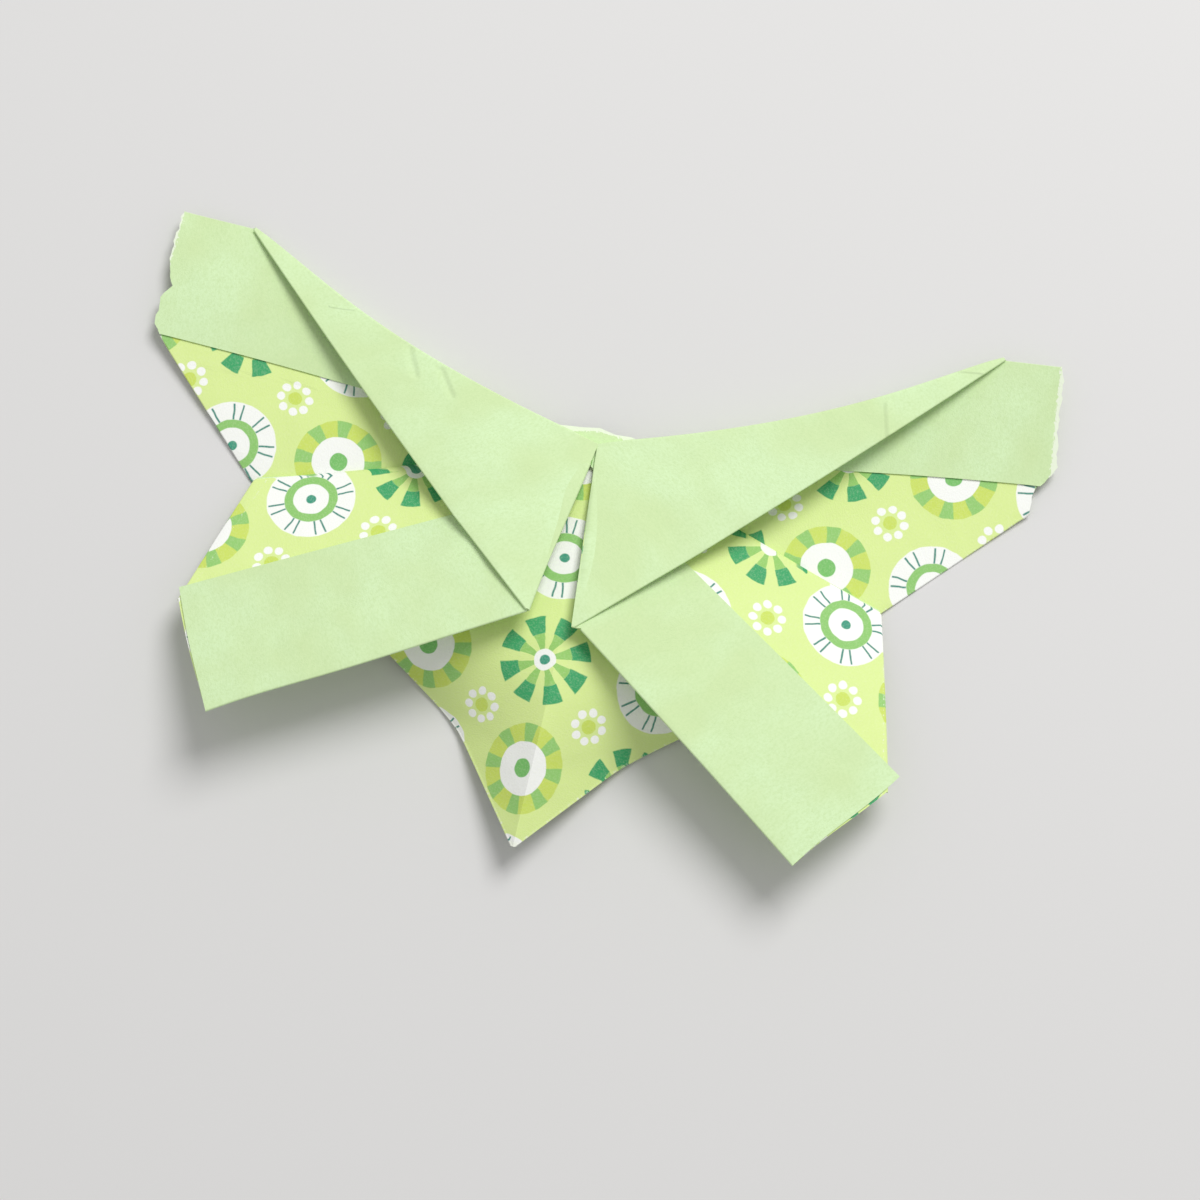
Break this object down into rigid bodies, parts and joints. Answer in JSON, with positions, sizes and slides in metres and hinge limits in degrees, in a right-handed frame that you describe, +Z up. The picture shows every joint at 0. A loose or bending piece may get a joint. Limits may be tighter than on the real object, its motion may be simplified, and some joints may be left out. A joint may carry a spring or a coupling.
{
  "type": "origami butterfly",
  "caption": "Butterfly folded from a rectangular sheet of patterned paper, with plain hems and two plain narrow triangles beside the head.",
  "frame": {"origin": "centre of the bounding box on the floor that the butterfly rests on", "axes": "+X toward the right forewing as seen from above with the head away, +Y toward the head, +Z up through the printed side"},
  "size_m": [0.1382, 0.0874, 0.014],
  "materials": {
    "paper": "matte"
  },
  "bodies": {
    "root": {"folded_sheet": "paper"}
  },
  "joints": []
}
